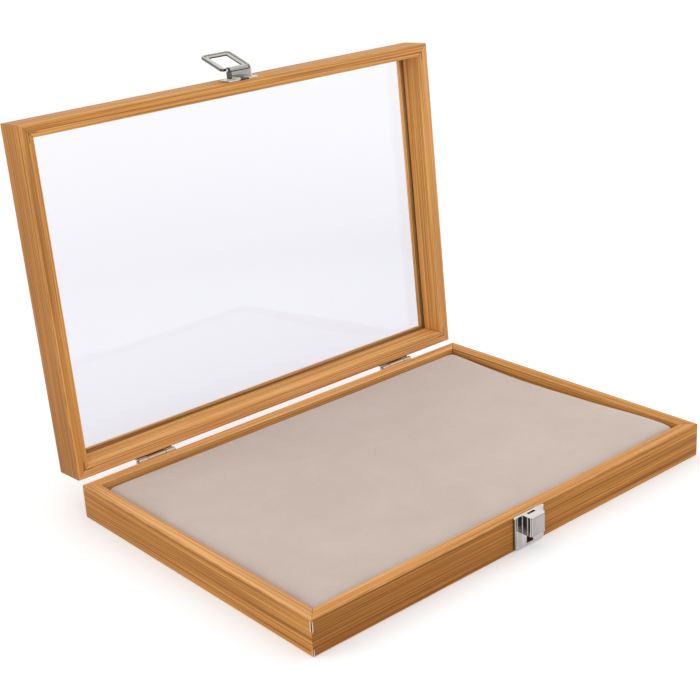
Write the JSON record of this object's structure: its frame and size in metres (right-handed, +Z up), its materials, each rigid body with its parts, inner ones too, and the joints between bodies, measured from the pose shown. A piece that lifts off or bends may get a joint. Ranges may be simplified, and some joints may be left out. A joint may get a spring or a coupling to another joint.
{
  "type": "coin display tray",
  "caption": "Shallow wooden display tray with a padded bed and a hinged glazed lid of the same moulding, held shut by a folding loop latch.",
  "frame": {"origin": "on the surface it stands on, under the middle of the case's overall extent with the lid open", "axes": "+X to the right along the hinge line, -Y towards the front with the latch, +Z up"},
  "size_m": [0.35, 0.3012, 0.2807],
  "materials": {
    "oak_foil_wood": "satin printed oak foil",
    "fibre_board": "raw",
    "suede": "matte suede",
    "foam": "matte",
    "card_stiffener": "matte",
    "clear_glass": "polished",
    "nickel_plate": "bright plated",
    "hinge_metal": "darkened plated",
    "nail_steel": "dull"
  },
  "bodies": {
    "tray_body": {"tray_rail_front": "oak_foil_wood", "tray_rail_back": "oak_foil_wood", "tray_rail_left": "oak_foil_wood", "tray_rail_right": "oak_foil_wood", "tray_bottom_board": "fibre_board", "pad_cover": "suede", "pad_foam": "foam", "pad_board": "card_stiffener", "tray_corner_nail_fl": "nail_steel", "tray_corner_nail_fr": "nail_steel", "tray_corner_nail_bl": "nail_steel", "tray_corner_nail_br": "nail_steel", "hinge_left_tray_leaf": "hinge_metal", "hinge_left_pin": "hinge_metal", "hinge_left_tray_screw_a": "hinge_metal", "hinge_left_tray_screw_b": "hinge_metal", "hinge_right_tray_leaf": "hinge_metal", "hinge_right_pin": "hinge_metal", "hinge_right_tray_screw_a": "hinge_metal", "hinge_right_tray_screw_b": "hinge_metal", "latch_catch": "nickel_plate"},
    "lid_body": {"lid_rail_front": "oak_foil_wood", "lid_rail_back": "oak_foil_wood", "lid_rail_left": "oak_foil_wood", "lid_rail_right": "oak_foil_wood", "lid_glass": "clear_glass", "lid_corner_nail_fl": "nail_steel", "lid_corner_nail_fr": "nail_steel", "lid_corner_nail_bl": "nail_steel", "lid_corner_nail_br": "nail_steel", "hinge_left_lid_leaf": "hinge_metal", "hinge_left_lid_screw_a": "hinge_metal", "hinge_left_lid_screw_b": "hinge_metal", "hinge_right_lid_leaf": "hinge_metal", "hinge_right_lid_screw_a": "hinge_metal", "hinge_right_lid_screw_b": "hinge_metal", "latch_bracket": "nickel_plate", "latch_tack_a": "nickel_plate", "latch_tack_b": "nickel_plate", "latch_pivot_pin": "nickel_plate"},
    "loop_body": {"latch_loop": "nickel_plate"}
  },
  "joints": [
    {"name": "lid_hinge", "type": "hinge", "parent": "tray_body", "child": "lid_body", "pos_m": [0, 0.10104, 0.02295], "axis": [1, 0, 0], "range_deg": [0, 93.6]},
    {"name": "loop_pivot", "type": "hinge", "parent": "lid_body", "child": "loop_body", "pos_m": [0.0004, 0.12369, 0.27217], "axis": [1, 0, 0], "range_deg": [0, 159.5]}
  ]
}
